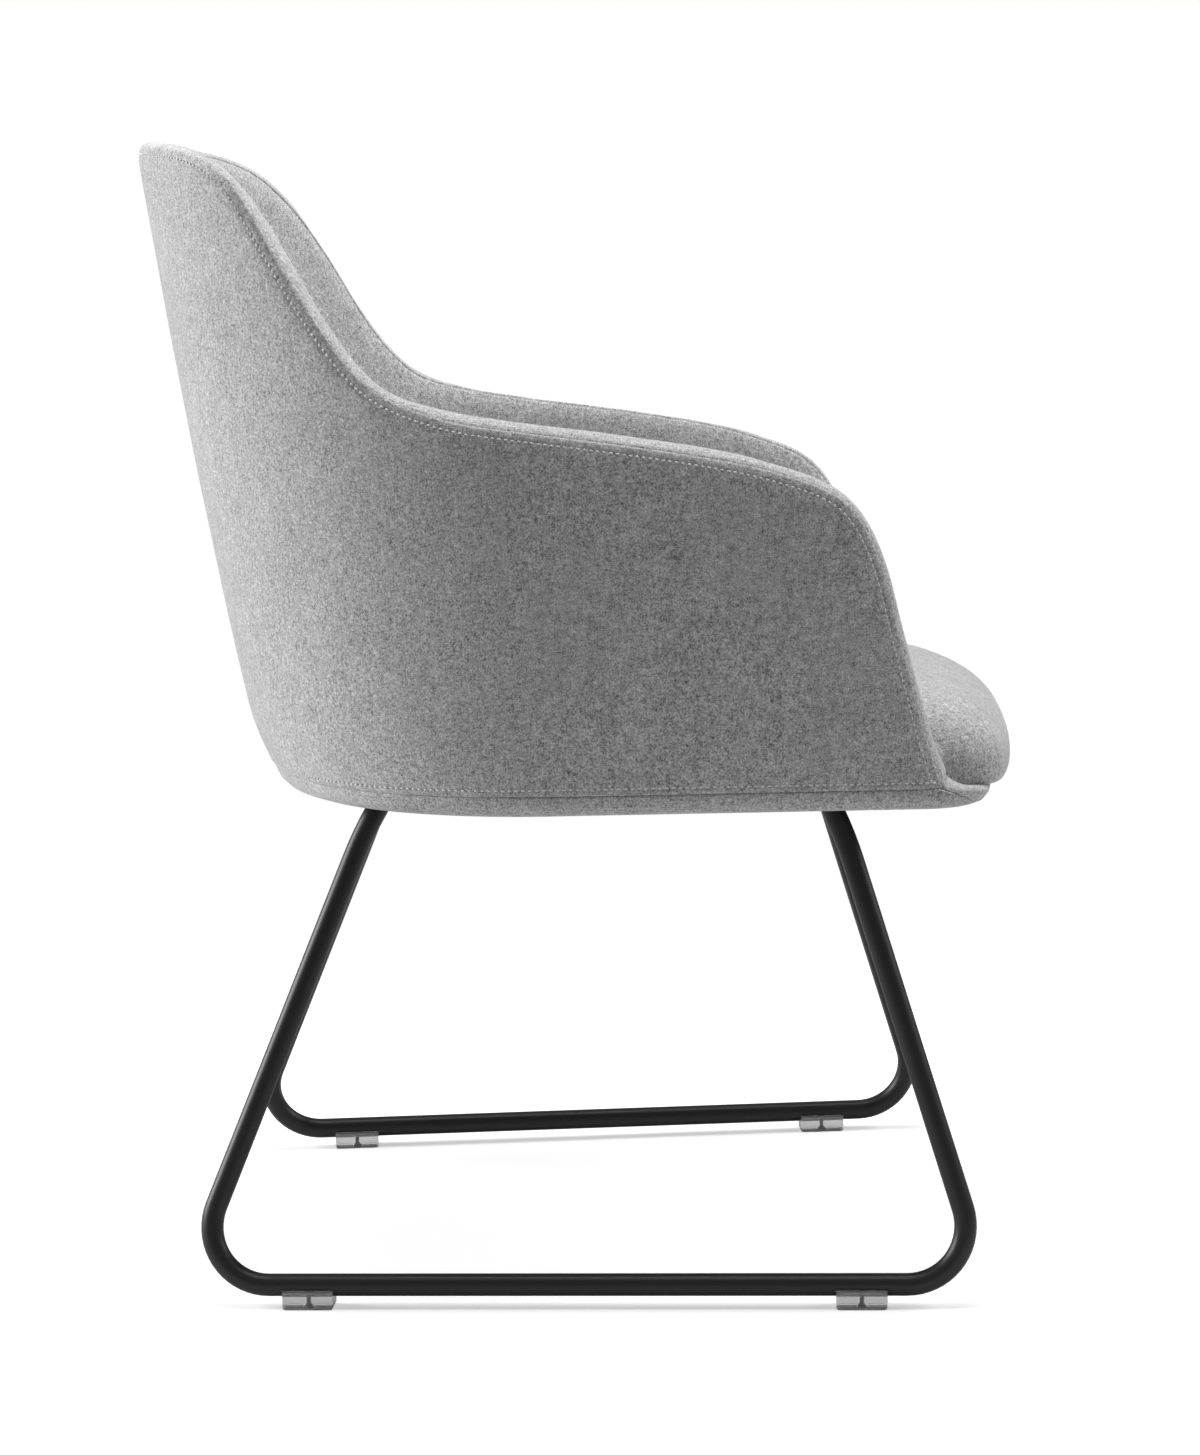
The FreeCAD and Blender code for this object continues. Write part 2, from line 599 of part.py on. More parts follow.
def make_frame():
    outers = []
    for name, side in SIDES:
        wire = loop_wire(side)
        outer = pipe(wire, TUBE / 2)
        outers.append(outer)
        tube = outer.cut(pipe(wire, TUBE / 2 - TUBE_WALL))
        holes = [glide_screw_hole(side, u, GLIDE_SCREW / 2) for u in (-GLIDE_U, GLIDE_U)]
        save("%s_sled_loop" % name, tube.cut(holes))

    width = PLATE_OUT + PLATE_IN
    plate = rounded_plate(PLATE_LENGTH, width, PLATE, PLATE_CORNER)
    plate.translate(Vec(0, 0, PLATE_TOP_Z - PLATE))
    for end, x in PLATES:
        spot = rail_point(1, x)
        start = Vec(x, -spot.y, RAIL_Z)
        bar, bore = [Part.makeCylinder(radius, 2 * spot.y, start, Vec(0, 1, 0))
                     for radius in (TUBE / 2, TUBE / 2 - TUBE_WALL)]
        save("%s_cross_tube" % end, largest(bar.cut(bore).cut(outers)))
        for name, side in SIDES:
            middle = rail_point(side, x, width / 2 - PLATE_OUT)
            placed = place(plate, middle, rail_angle(side))
            save("%s_%s_plate" % (end, name), placed.cut(bolt_holes(PLATE_TOP_Z - PLATE, PLATE_TOP_Z)))


def make_glides():
    body = Part.makeBox(GLIDE_LENGTH, GLIDE_WIDTH, GLIDE_TOP, Vec(-GLIDE_LENGTH / 2, -GLIDE_WIDTH / 2, 0))
    body = body.makeFillet(GLIDE_CORNER, [e for e in body.Edges if abs(e.tangentAt(0).y) > 0.9
                                          and e.BoundBox.ZMax < 1])
    foot = rounded_plate(GLIDE_LENGTH + 2 * GLIDE_FOOT_PROUD - 2 * GLIDE_CORNER,
                         GLIDE_WIDTH + 2 * GLIDE_FOOT_PROUD, GLIDE_FOOT, GLIDE_CORNER)
    saddle = Part.makeCylinder(TUBE / 2, GLIDE_LENGTH * 2, Vec(-GLIDE_LENGTH, 0, RUNNER_Z), Vec(1, 0, 0))
    cone_z = GLIDE_SCREW_DEPTH
    cone = Part.makeCone(GLIDE_SCREW_HEAD / 2, GLIDE_SCREW / 2, GLIDE_SCREW_CONE, Vec(0, 0, cone_z))
    well = cylinder(GLIDE_SCREW_HEAD / 2, cone_z, 0, 0, 0)
    shaft = cylinder(GLIDE_SCREW / 2, GLIDE_TOP, 0, 0, 0)
    glide = body.fuse(foot).cut([saddle, cone, well, shaft])

    screw = cone.fuse(cylinder(GLIDE_SCREW / 2, GLIDE_SCREW_TOP - cone_z - GLIDE_SCREW_CONE,
                               0, 0, cone_z + GLIDE_SCREW_CONE))
    slot = Part.makeBox(GLIDE_SCREW_HEAD * 0.6, 1.0, 1.2, Vec(-GLIDE_SCREW_HEAD * 0.3, -0.5, cone_z))
    cross = slot.copy()
    cross.rotate(Vec(0, 0, 0), Vec(0, 0, 1), 90)
    screw = screw.cut([slot, cross])
    screws = []
    for end, u in (("front", GLIDE_U), ("rear", -GLIDE_U)):
        for name, side in SIDES:
            spot = runner_point(side, u)
            save("%s_%s_glide" % (end, name), place(glide, spot, side * TOE_OUT))
            screws.append(place(screw, spot, side * TOE_OUT))
    save("glide_screws", Part.makeCompound(screws))


os.makedirs("parts", exist_ok=True)
make_tub()
make_seat()
make_fasteners()
make_frame()
make_glides()
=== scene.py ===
# %% [markdown]
# # Sled base visitor chair: the looks
#
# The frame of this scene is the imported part: every node is already where it belongs.
# The hard pieces keep their shape and get better materials. The soft pieces, which the
# part holds as plain layers, are modelled again here with their seams, folds and stitches.
# Metres throughout. The chair faces +X and the camera looks at its right side.

# %% Imports and the frame
import bisect
import math
import bmesh
import bpy
from mathutils import Matrix, Vector, noise


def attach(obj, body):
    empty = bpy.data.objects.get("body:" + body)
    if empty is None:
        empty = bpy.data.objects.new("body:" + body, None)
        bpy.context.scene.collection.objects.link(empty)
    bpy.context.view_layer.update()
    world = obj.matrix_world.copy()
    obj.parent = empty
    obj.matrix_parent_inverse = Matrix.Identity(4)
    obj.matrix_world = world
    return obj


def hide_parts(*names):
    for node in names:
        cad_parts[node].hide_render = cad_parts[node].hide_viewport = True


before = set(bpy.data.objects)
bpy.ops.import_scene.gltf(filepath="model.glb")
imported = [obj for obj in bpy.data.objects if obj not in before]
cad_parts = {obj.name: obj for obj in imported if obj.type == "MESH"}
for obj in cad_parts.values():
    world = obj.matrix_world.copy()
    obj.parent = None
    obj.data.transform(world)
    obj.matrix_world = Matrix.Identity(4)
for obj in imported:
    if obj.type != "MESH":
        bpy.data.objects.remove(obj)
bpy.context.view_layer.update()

# %% [markdown]
# ## Sizes
#
# The same driving sizes as the part, in metres, so that each new piece lies where its
# layer lies in the part.

# %% Driving sizes
MM = 0.001
HALF_WIDTH = 0.262
FOOT_SQUARENESS = 0.068
ARC_SPLIT = math.radians(30)
SEAM_Z = 0.364
TOP_Z = 0.829
FOOT_Z = 0.348
REAR_LINE = ((SEAM_Z, -0.2445), (0.600, -0.2893), (TOP_Z, -0.325))
FOOT_ROUNDING = ((0, 13, 26), (3, 6.5, 18), (8, 2, 12.5), (16, 0, 8.5))
REAR_ROUNDING = 0.048
WALL = 0.030
WALL_FRONT = 0.330
LIP_FRONT = 0.3075
LIP_BOW = 1.6
FOOT_CORNER = 0.050
BOARD_TOP_Z = 0.392
RISER_X = 0.250
RIM_BACK = (
    (0, 829, 826), (15, 828.5, 825), (28, 825, 819), (36, 819, 809), (42, 808.5, 792),
    (47, 789, 769), (52, 750.5, 735.5), (58, 703, 688.5), (64, 664.5, 657), (70, 643.5, 642),
    (80, 628, 632),
)
RIM_ARM = (
    (-41, 620.5, 625), (14, 612.5, 617), (62, 605, 609.5), (111, 596, 600), (145.5, 587, 589.5),
    (175, 576, 577.5), (193.5, 562.5, 563.5), (207, 541, 542), (217.5, 511, 512),
    (227, 470, 472), (239, 420, 427), (248, 386, 398), (255, 364, 383),
)
CROWN = (
    (0, 9), (2.5, 3.2), (6.5, 0.6), (14, 0), (23, 0.8), (31, 3), (39, 6.6), (47, 12.3), (54.5, 21),
    (61, 33.5), (67.5, 54), (73, 85), (77.5, 133),
)


def rear_x(z):
    """Back of the tub at a height: one gentle bow through its foot, middle and top."""
    total = 0.0
    for zi, xi in REAR_LINE:
        share = xi
        for zj, _ in REAR_LINE:
            if zj != zi:
                share *= (z - zj) / (zi - zj)
        total += share
    return total


def squareness(z):
    share = (TOP_Z - z) / (TOP_Z - SEAM_Z)
    return FOOT_SQUARENESS * max(0.0, min(1.0, share)) ** 2


def lerp(a, b, t):
    return a + (b - a) * t


def table(rows, x, column=1):
    """Straight interpolation in rows that start with a rising value."""
    if x <= rows[0][0]:
        return rows[0][column]
    for a, b in zip(rows, rows[1:]):
        if x <= b[0]:
            return lerp(a[column], b[column], (x - a[0]) / (b[0] - a[0]))
    return rows[-1][column]


# %% [markdown]
# ## Places on the tub
#
# A place on the wall is a run `s` along its outline from the middle of the back, a height
# and an inset. The run is measured on a nominal outline, so a given `s` stays above itself.

# %% Outlines, places and the rim seam
NOMINAL_Z = 0.6
ARM_BEHIND_MIDDLE = 0.040
HALF_STATIONS = 230
CURVE_STEPS = 16
NOMINAL = squareness(NOMINAL_Z)
RUN_1 = (HALF_WIDTH + NOMINAL) * ARC_SPLIT
RUN_2 = RUN_1 + (HALF_WIDTH - NOMINAL) * (math.pi / 2 - ARC_SPLIT)
RUN_3 = RUN_2 + WALL_FRONT + ARM_BEHIND_MIDDLE


def outline_spot(s, back, half, square, front, z):
    """Point of a U-shaped outline, and its outward direction in plan."""
    side = 1 if s >= 0 else -1
    s = abs(s)
    big = half + square
    small = half - square
    cx = back + big
    if s < RUN_1:
        turn = s / RUN_1 * ARC_SPLIT
        p = Vector((cx - big * math.cos(turn), big * math.sin(turn), z))
    elif s < RUN_2:
        turn = lerp(ARC_SPLIT, math.pi / 2, (s - RUN_1) / (RUN_2 - RUN_1))
        cx -= 2 * square * math.cos(ARC_SPLIT)
        p = Vector((cx - small * math.cos(turn), square + small * math.sin(turn), z))
    else:
        turn = math.pi / 2
        start = cx - 2 * square * math.cos(ARC_SPLIT)
        p = Vector((lerp(start, front, (s - RUN_2) / (RUN_3 - RUN_2)), half, z))
    out = Vector((-math.cos(turn), side * math.sin(turn), 0))
    return Vector((p.x, side * p.y, z)), out


def wall_spot(s, z, inset=0.0):
    """Point of the wall at an inset from its outside, and its outward direction."""
    drawn = FOOT_ROUNDING[-1][2] * MM * max(0.0, 1 - (z - SEAM_Z) / REAR_ROUNDING) ** 2
    if z < SEAM_Z:
        drawn = FOOT_ROUNDING[-1][2] * MM
    return outline_spot(s, rear_x(z) + drawn + inset, HALF_WIDTH - inset, squareness(z), WALL_FRONT, z)


def foot_spot(t, rise, inset=0.0):
    """Point of the foot at a height above its underside. t runs 0..5 from the back to the front."""
    side_in = table(FOOT_ROUNDING, rise / MM, 1) * MM + inset
    back_in = table(FOOT_ROUNDING, rise / MM, 2) * MM + inset
    return closed_spot(t, rear_x(SEAM_Z) + back_in, HALF_WIDTH - side_in, LIP_FRONT - side_in,
                       LIP_BOW - side_in, FOOT_CORNER - side_in, FOOT_SQUARENESS, FOOT_Z + rise)


def closed_spot(t, back, half, front, bow, corner, square, z):
    """Point of a closed outline: back arc, corner arc, side, front corner, bowed front."""
    side = 1 if t >= 0 else -1
    t = abs(t)
    corner_y = half - corner
    corner_x = front - bow + math.sqrt((bow - corner) ** 2 - corner_y ** 2)
    turn = math.atan2(corner_y, corner_x - front + bow)
    if t < 2:
        p, out = outline_spot(t * RUN_1 if t < 1 else lerp(RUN_1, RUN_2, t - 1), back, half, square, front, z)
    elif t < 3:
        start = back + half + square - 2 * square * math.cos(ARC_SPLIT)
        p = Vector((lerp(start, corner_x, t - 2), half, z))
        out = Vector((0, 1, 0))
    elif t < 4:
        a = lerp(math.pi / 2, turn, t - 3)
        out = Vector((math.cos(a), math.sin(a), 0))
        p = Vector((corner_x, corner_y, z)) + out * corner
    else:
        a = lerp(turn, 0, t - 4)
        out = Vector((math.cos(a), math.sin(a), 0))
        p = Vector((front - bow, 0, z)) + out * bow
    return Vector((p.x, side * p.y, z)), Vector((out.x, side * out.y, 0))


def smooth_curve(points, count):
    """Even samples of a smooth curve through points, tuples of any length."""
    fine = []
    n = len(points)
    for k in range(n - 1):
        p0, p1, p2, p3 = [points[max(0, min(n - 1, k + j))] for j in (-1, 0, 1, 2)]
        for i in range(CURVE_STEPS):
            t = i / CURVE_STEPS
            fine.append(tuple(
                0.5 * (2 * b + (c - a) * t + (2 * a - 5 * b + 4 * c - d) * t * t
                       + (3 * b - a - 3 * c + d) * t ** 3) for a, b, c, d in zip(p0, p1, p2, p3)))
    fine.append(points[-1])
    along = [0.0]
    for a, b in zip(fine, fine[1:]):
        along.append(along[-1] + math.dist(a[:2], b[:2]))
    out = []
    for k in range(count + 1):
        want = along[-1] * k / count
        i = max(1, min(len(fine) - 1, bisect.bisect_left(along, want)))
        t = (want - along[i - 1]) / max(1e-9, along[i] - along[i - 1])
        out.append(tuple(lerp(a, b, t) for a, b in zip(fine[i - 1], fine[i])))
    return out


def seam_stations(column, inset):
    """The rim seam as (run, height) pairs from the middle of the back to the front of the arm."""
    pairs = []
    for row in RIM_BACK:
        turn = math.radians(row[0])
        if turn <= ARC_SPLIT:
            s = turn / ARC_SPLIT * RUN_1
        else:
            s = lerp(RUN_1, RUN_2, (turn - ARC_SPLIT) / (math.pi / 2 - ARC_SPLIT))
        pairs.append((s, row[column] * MM))
    for row in RIM_ARM:
        z = row[column] * MM
        start = wall_spot(RUN_2, z, inset)[0].x
        pairs.append((RUN_2 + (row[0] * MM - start) / (WALL_FRONT - start) * (RUN_3 - RUN_2), z))
    return pairs


def mirrored(samples):
    return [(-s, z) for s, z in reversed(samples[1:])] + samples


outer_seam = mirrored(smooth_curve(seam_stations(1, 0.0), HALF_STATIONS))
inner_seam = mirrored(smooth_curve(seam_stations(2, WALL), HALF_STATIONS))
print("rim stations", len(outer_seam))

# %% [markdown]
# ## Making a piece
#
# Every fabric piece starts as a grid whose vertices are then laid on the tub.

# %% Helpers for a piece

def finish_piece(name, bm, node_slot, facing):
    """Turns a mesh into a piece: faces outward, smooth, on the chair, with its slot."""
    bm.normal_update()
    if sum(f.normal.dot(facing(f.calc_center_median())) * f.calc_area() for f in bm.faces) < 0:
        bmesh.ops.reverse_faces(bm, faces=bm.faces)
    for face in bm.faces:
        face.smooth = True
    mesh = bpy.data.meshes.new(name)
    bm.to_mesh(mesh)
    bm.free()
    piece = bpy.data.objects.new(name, mesh)
    bpy.context.scene.collection.objects.link(piece)
    mesh.materials.append(bpy.data.materials.get(node_slot) or bpy.data.materials.new(node_slot))
    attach(piece, "root")
    print(name, len(mesh.polygons), "faces")
    return piece


def grid(columns, rows, lay):
    """Grid of columns by rows whose vertices lay(column, row) puts in place."""
    bm = bmesh.new()
    bmesh.ops.create_grid(bm, x_segments=columns - 1, y_segments=rows - 1, size=1)
    for v in bm.verts:
        v.co = lay(round((v.co.x + 1) / 2 * (columns - 1)), round((v.co.y + 1) / 2 * (rows - 1)))
    return bm


def sideways(p):
    return Vector((p.x + 0.05, p.y, 0)) if p.x < 0 else Vector((0, p.y, 0))


def soft(p, scale, height):
    """Slight unevenness of stuffed fabric at a place."""
    return noise.noise(p * scale) * height


# %% [markdown]
# ## Outer and inner cover
#
# Columns hang from the rim seam. Rows lie close together near the seam, where the cover
# curls over the edge and tucks into the seam, and near the level seam at the foot.

# %% Cover panels
NEAR_RIM = (0, 0.5, 1.2, 2.2, 3.6, 5.5, 6.1, 6.6, 7.1, 7.8, 11, 15, 20)
NEAR_FOOT = (9, 6.2, 5.4, 4.8, 4.2, 3.4, 1.6, 0.7, 0)
MIDDLE_ROWS = 34
GROOVE = 0.0005
GROOVE_HALF = 1.1         # in millimetres, as the next four are
RIM_GROOVE_AT = 6.6
LEVEL_GROOVE_AT = 4.8
CURL_WIDTH = 16
TUCK_WIDTH = 1.6
FOOT_TUCK_WIDTH = 2.2
HEM = 0.004
INNER_LOW = 0.381


def cover(seam, low, inset, curl, tuck):
    """Cover panel between a rim seam and a level line. The signs of curl and tuck are insets."""
    rows = 1 + len(NEAR_RIM) + MIDDLE_ROWS + len(NEAR_FOOT) + 1
    seam = [p for p in seam if p[1] > low + 0.0015]

    def lay(i, j):
        s, top = seam[i]
        before = seam[max(0, i - 1)]
        after = seam[min(len(seam) - 1, i + 1)]
        slope = (after[1] - before[1]) / max(1e-6, after[0] - before[0])
        steep = math.hypot(1, slope)
        height = top - low
        rim = [min(d * MM * steep, height * (0.1 + 0.45 * d / 20)) if d else 0.0 for d in NEAR_RIM]
        foot = [min(d * MM, height * 0.3 * d / 9) for d in NEAR_FOOT]
        if j == 0 or j == rows - 1:
            h = 0.0 if j == 0 else height
            deep = HEM
        elif j <= len(rim):
            h = rim[j - 1]
            deep = 0.0
        elif j <= len(rim) + MIDDLE_ROWS:
            h = lerp(rim[-1], height - foot[0], (j - len(rim)) / (MIDDLE_ROWS + 1))
            deep = 0.0
        else:
            h = height - foot[j - len(rim) - MIDDLE_ROWS - 1]
            deep = 0.0
        near = h / steep / MM
        over = height - h
        sink = curl * max(0.0, 1 - near / CURL_WIDTH) ** 2.2
        sink = sink + tuck * max(0.0, 1 - near / TUCK_WIDTH) ** 2
        sink += 0.85 * tuck * max(0.0, 1 - over / MM / FOOT_TUCK_WIDTH) ** 2 + math.copysign(deep, tuck)
        if tuck > 0:
            sink += GROOVE * max(0.0, 1 - abs(near - RIM_GROOVE_AT) / GROOVE_HALF)
            sink += GROOVE * max(0.0, 1 - abs(over / MM - LEVEL_GROOVE_AT) / GROOVE_HALF)
        p, out = wall_spot(s, top - h, inset + sink)
        return p + out * soft(p, 9.0, 0.0009) * min(1.0, near / 25) * min(1.0, over / 0.02)

    return grid(len(seam), rows, lay)


outer_cover = finish_piece("outer_cover_cloth", cover(outer_seam, SEAM_Z, 0.0, 0.0034, 0.0014),
                           "cover_fabric", sideways)
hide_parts("outer_cover")
inner_cover = finish_piece("inner_cover_cloth", cover(inner_seam, INNER_LOW, WALL, -0.0034, -0.0012),
                           "cover_fabric", lambda p: -sideways(p))
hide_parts("inner_cover")

# %% [markdown]
# ## Rim band
#
# A padded strip between the two seams. It stands up a little between them, and the fold
# of the inner seam shows as a thin raised line.

# %% Rim strip
SEAM_DEPTH = 0.0036
BAND = (
    (0.00, -6.0), (0.00, -2.2), (0.01, -0.9), (0.035, 0.1), (0.08, 0.9), (0.16, 1.8), (0.28, 2.6),
    (0.42, 3.0), (0.56, 3.0), (0.70, 2.5), (0.82, 1.7), (0.90, 0.9), (0.935, 0.5), (0.95, 1.1),
    (0.965, 1.5), (0.98, 1.3), (0.99, 0.5), (0.995, -0.8), (1.00, -6.0),
)


def band_frame(i):
    """Outer and inner edge of the band at a station."""
    i = max(0, min(len(outer_seam) - 1, i))
    o = wall_spot(outer_seam[i][0], outer_seam[i][1], SEAM_DEPTH)[0]
    n = wall_spot(inner_seam[i][0], inner_seam[i][1], WALL - SEAM_DEPTH)[0]
    return o, n


def band_spot(i, j):
    o, n = band_frame(i)
    before = sum(band_frame(i - 1), Vector())
    after = sum(band_frame(i + 1), Vector())
    up = (after - before).cross(n - o).normalized()
    if up.dot(Vector((1, 0, 1))) < 0:
        up = -up
    across, lift = BAND[j]
    p = o.lerp(n, across) + up * lift * MM
    return p + up * soft(p, 30.0, 0.0004)


rim_band = finish_piece("rim_band_cloth", grid(len(outer_seam), len(BAND), band_spot),
                        "cover_fabric", lambda p: Vector((0.6, 0, 1)))
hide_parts("rim_band")

# %% [markdown]
# ## Bottom band and front lip band
#
# Both follow the foot of the tub and turn under it. They meet in a slanted seam near each
# front corner.

# %% Bottom strip and lip
SEAM_TOP_T = 3.142
SEAM_LOW_T = 3.77
BAND_TOP = 16             # in millimetres above the underside
BAND_HALF = 260
LIP_COLUMNS = 240
PINCH = 1.2
PINCH_COLUMNS = 2.0
BOTTOM = ((16, 4.0), (16, 1.3), (15.2, 0.3), (14, 0), (11, 0), (8, 0), (6, 0), (4.5, 0), (3, 0),
          (2, 0.4), (1.2, 0.9), (0.5, 1.8), (0.15, 3.0), (0, 4.5), (0, 7), (0.6, 8.6), (3, 9.2))
LIP = ((11.2, 40), (11.6, 34), (12.7, 27), (13.0, 20), (13.0, 14), (12.9, 8), (12.3, 4.2), (11.2, 1.8),
       (9.6, 0.5), (8, 0),
       (6, 0), (4.5, 0), (3, 0), (2, 0.4), (1.2, 0.9), (0.5, 1.8), (0.15, 3.0), (0, 4.5), (0, 7),
       (0.6, 8.6), (3, 9.2))


def bottom_spot(i, j):
    rise, inset = BOTTOM[j]
    end = lerp(SEAM_LOW_T, SEAM_TOP_T, rise / BAND_TOP)
    u = (i - BAND_HALF) / BAND_HALF
    pinch = PINCH * max(0.0, 1 - (1 - abs(u)) * BAND_HALF / PINCH_COLUMNS) ** 2
    p, out = foot_spot(u * end, rise * MM, (inset + pinch) * MM)
    return p + out * soft(p, 14.0, 0.0005)


# Top of the lip above the underside. It sweeps up where it meets the front edge of an arm.
LIP_TOP = ((3.1, 39.5), (3.17, 34), (3.26, 27), (3.35, 22.5), (3.43, 19.5), (3.55, 16.5), (3.7, 14.5),
           (4.0, 13), (4.4, 12), (5.0, 11.8))

LIP_FACE = 3              # below this the lip keeps its rounding
LIP_SPAN = 10             # from there to the top of the plain profile
LIP_FOLD = 30             # rows further in than this lie flat under the cushion


def lip_spot(i, j):
    u = i / LIP_COLUMNS
    rise, inset = LIP[j]
    share = 1 - abs(2 * u - 1)
    top = table(LIP_TOP, lerp(SEAM_TOP_T, 5, share))
    if rise > LIP_FACE and inset < LIP_FOLD:
        height = lerp(min(top, BAND_TOP), top, min(1, inset / BAND_TOP))
        rise = LIP_FACE + (rise - LIP_FACE) * (height - LIP_FACE) / LIP_SPAN
    start = lerp(SEAM_LOW_T, SEAM_TOP_T, min(1, rise / BAND_TOP))
    t = math.copysign(lerp(start, 5, share), 0.5 - u)
    edge = min(u, 1 - u) * LIP_COLUMNS
    pinch = PINCH * max(0.0, 1 - edge / PINCH_COLUMNS) ** 2
    p, out = foot_spot(t, rise * MM, (inset + pinch) * MM)
    return p + out * soft(p, 14.0, 0.0005)


def outward(p):
    return Vector((p.x - 0.03, p.y, 0))


bottom_band = finish_piece("bottom_band_cloth", grid(2 * BAND_HALF + 1, len(BOTTOM), bottom_spot),
                           "cover_fabric", outward)
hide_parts("bottom_band")
lip_band = finish_piece("front_lip_cloth", grid(LIP_COLUMNS + 1, len(LIP), lip_spot),
                        "cover_fabric", outward)
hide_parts("front_lip_band")

# %% [markdown]
# ## Seat cushion
#
# One stuffed form: rounded nose in front, crown on top, and a step under it where it sits
# on the board behind the nose.

# %% Cushion
AROUND = 300
CUSHION_FOOT = 0.3585
CUSHION_FRONT = 0.3222
CUSHION_BOW = 1.05
CUSHION_CORNER = 0.046
CUSHION_SLIP = 0.001
BOARD_SLIP = 0.0006
RISER_SLIP = 0.0015
REAR_LINE_TOP = 0.44      # the cushion's back stops leaning with the tub here
CROWN_TOP = 77.5
CROWN_STEPS = 48
CUSHION_ROWS = [(0, 110), (0, 60), (0, 30)]
for step in range(CROWN_STEPS + 1):
    CUSHION_ROWS.append((CROWN_TOP * step / CROWN_STEPS, None))
CUSHION_ROWS += [(78.8, 152), (79.6, 170), (80.1, 188), (80.4, 204), (80.5, 214)]


def crown_in(rise):
    """How far the cushion is drawn in at a height above its foot."""
    curve = smooth_crown
    k = bisect.bisect_left([c[0] for c in curve], rise)
    k = max(1, min(len(curve) - 1, k))
    a, b = curve[k - 1], curve[k]
    return lerp(a[1], b[1], (rise - a[0]) / max(1e-9, b[0] - a[0]))


smooth_crown = sorted(smooth_curve(CROWN, 200))


def cushion_spot(i, j):
    rise, drawn = CUSHION_ROWS[j]
    if drawn is None:
        drawn = crown_in(rise)
    t = (i / AROUND - 0.5) * 10
    z = CUSHION_FOOT + rise * MM
    gap = WALL + CUSHION_SLIP + drawn * MM
    half = HALF_WIDTH - gap
    corner = max(0.004, min(CUSHION_CORNER, half * 0.5))
    p, out = closed_spot(t, rear_x(min(z, REAR_LINE_TOP)) + gap, half, CUSHION_FRONT - drawn * MM,
                         CUSHION_BOW, corner, min(squareness(z), half * 0.25), z)
    if p.x < RISER_X + RISER_SLIP:
        p.z = max(p.z, BOARD_TOP_Z + BOARD_SLIP + (z - CUSHION_FOOT) * 0.01)
    else:
        before_riser = min(1.0, (p.x - RISER_X - RISER_SLIP) / 0.004)
        p.z = max(p.z, lerp(BOARD_TOP_Z + BOARD_SLIP, p.z, before_riser))
    return p + out * soft(p, 11.0, 0.0012) + Vector((0, 0, soft(p, 6.0, 0.0018) if rise > 40 else 0))


bm = grid(AROUND + 1, len(CUSHION_ROWS), cushion_spot)
bmesh.ops.remove_doubles(bm, verts=bm.verts, dist=0.00005)
bmesh.ops.holes_fill(bm, edges=[e for e in bm.edges if e.is_boundary], sides=0)
cushion = finish_piece("seat_cushion", bm, "cover_fabric", lambda p: p - Vector((0.05, 0, 0.41)))
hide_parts("cushion_cover", "cushion_foam")

# %% [markdown]
# ## Foam, and the cloth under the seat
#
# The foam pad wraps over the moulded shell, between the two covers. The cloth under the
# seat lies in the foot and is open round each leg.

# %% Foam pad and dust cloth
FOAM_INSET = 0.0062
FOAM_BELOW_SEAM = 0.009
FOAM_LOW = 0.3935
FOAM_SHORTEST = 0.405     # an arm lower than this holds no pad
SHEETS = 7
DUST_CELLS = 90
LEG_HOLE = 0.0108
LEG_HOLE_Z = 0.3525
LEG_SPOTS = ((-0.1445, 0.1648), (0.1780, 0.2268))


def foam_spot(i, j):
    s, top = outer_seam[i]
    n_s, n_top = inner_seam[i]
    if j < SHEETS:
        z = lerp(SEAM_Z + 0.002, top - FOAM_BELOW_SEAM, j / (SHEETS - 1))
        return wall_spot(s, z, FOAM_INSET)[0]
    k = (j - SHEETS) / (SHEETS - 1)
    z = lerp(n_top - FOAM_BELOW_SEAM, FOAM_LOW, k)
    return wall_spot(lerp(n_s, s, k), z, WALL - FOAM_INSET)[0]


foam_last = max(i for i, p in enumerate(outer_seam) if p[1] > FOAM_SHORTEST)
foam_first = len(outer_seam) - 1 - foam_last
foam_count = foam_last - foam_first + 1
foam = finish_piece("shell_foam_pad", grid(foam_count, 2 * SHEETS, lambda i, j: foam_spot(i + foam_first, j)),
                    "foam", lambda p: Vector((0.2, 0, 1)))
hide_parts("shell_foam")

LEG_HOLES = []
for side in (1, -1):
    for x, y in LEG_SPOTS:
        LEG_HOLES.append(Vector((x, side * y, LEG_HOLE_Z)))


def dust_spot(i, j):
    u = i / DUST_CELLS * 2 - 1
    v = j / DUST_CELLS * 2 - 1
    ring = max(abs(u), abs(v))
    angle = math.atan2(v, -u)
    t = angle / math.pi * 5
    edge, _ = foot_spot(t, 0.0045, 0.0075)
    centre = Vector((0.03, 0, edge.z))
    p = centre.lerp(edge, ring)
    p.z -= 0.0006 * (1 - ring ** 4) - soft(p, 8.0, 0.0004) * (1 - ring)
    return p


bm = grid(DUST_CELLS + 1, DUST_CELLS + 1, dust_spot)
gone = [f for f in bm.faces if any((f.calc_center_median() - h).xy.length < 0.0115 for h in LEG_HOLES)]
bmesh.ops.delete(bm, geom=gone, context="FACES")
for v in bm.verts:
    for hole in LEG_HOLES:
        away = (v.co - hole).xy
        if v.is_boundary and away.length < 0.02:
            v.co.x, v.co.y = hole.xy + away.normalized() * LEG_HOLE
dust = finish_piece("dust_cloth_sheet", bm, "dust_cloth", lambda p: Vector((0, 0, -1)))
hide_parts("dust_cover")

# %% [markdown]
# ## Stitches
#
# One row runs beside the outer rim seam and one above the level seam. Each stitch is a
# small drop of thread that lies in the cover.

# %% Rows of stitches

